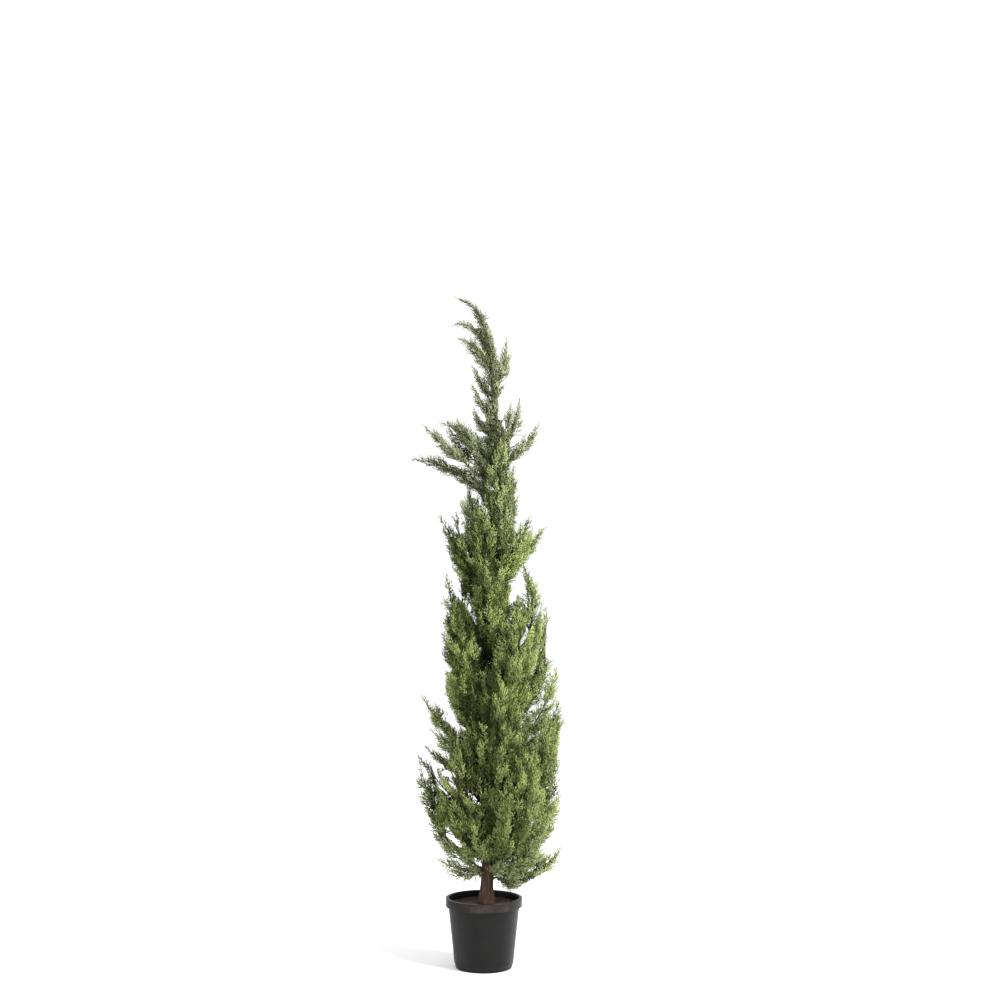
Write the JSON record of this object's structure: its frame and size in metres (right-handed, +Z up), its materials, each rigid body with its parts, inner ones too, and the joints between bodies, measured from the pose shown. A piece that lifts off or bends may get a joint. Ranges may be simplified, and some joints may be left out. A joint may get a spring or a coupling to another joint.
{
  "type": "potted italian cypress tree",
  "caption": "Tall, narrow evergreen cypress with upright feathery plumes, an open nodding top and a bare trunk foot, growing in a tapered black plastic nursery pot.",
  "frame": {"origin": "centre of the pot's flat underside, where it stands on the ground", "axes": "+Z up along the trunk; -Y is the tree's best side, seen from the front; +X is the viewer's right from there"},
  "size_m": [0.5998, 0.4918, 2.646],
  "materials": {
    "foliage": "matt scale leaves",
    "bark": "rough fibrous bark",
    "pot_plastic": "satin black plastic",
    "soil": "loose dark potting mix"
  },
  "bodies": {
    "root": {"base_back_left_plume": "foliage", "base_back_right_plume": "foliage", "base_front_left_plume": "foliage", "base_front_right_plume": "foliage", "bough_left_bent_arm": "bark", "bough_left_fan_middle": "bark", "bough_left_long_spray": "bark", "bough_left_low_spray": "bark", "bough_right_feather": "bark", "bough_skirt_left": "bark", "bough_skirt_right": "bark", "leader_plume": "foliage", "leader_sleeve": "foliage", "left_back_arm": "foliage", "left_bent_arm": "foliage", "left_fan_middle": "foliage", "left_fan_upper": "foliage", "left_high_arm": "foliage", "left_long_spray": "foliage", "left_low_spray": "foliage", "left_middle_arm": "foliage", "left_shoulder_inner": "foliage", "left_shoulder_outer": "foliage", "left_spire": "foliage", "lower_back_plume": "foliage", "lower_front_plume": "foliage", "lower_left_plume": "foliage", "middle_back_left_plume": "foliage", "middle_back_right_plume": "foliage", "middle_front_left_plume": "foliage", "middle_front_right_plume": "foliage", "neck_back": "foliage", "neck_front": "foliage", "neck_left": "foliage", "neck_right": "foliage", "pot": "pot_plastic", "right_arm_plume": "foliage", "right_feather": "foliage", "right_flank_lower": "foliage", "right_flank_upper": "foliage", "right_low_spray": "foliage", "right_middle_plume": "foliage", "right_shoulder_inner": "foliage", "right_shoulder_outer": "foliage", "right_spire": "foliage", "skirt_back": "foliage", "skirt_left": "foliage", "skirt_right": "foliage", "soil": "soil", "top_left_plume_1": "foliage", "top_left_plume_2": "foliage", "top_left_plume_3": "foliage", "top_left_plume_4": "foliage", "top_left_plume_5": "foliage", "top_right_fork_inner": "foliage", "top_right_fork_outer": "foliage", "top_right_plume": "foliage", "trunk": "bark", "upper_back_plume": "foliage", "upper_front_plume": "foliage"}
  },
  "joints": []
}
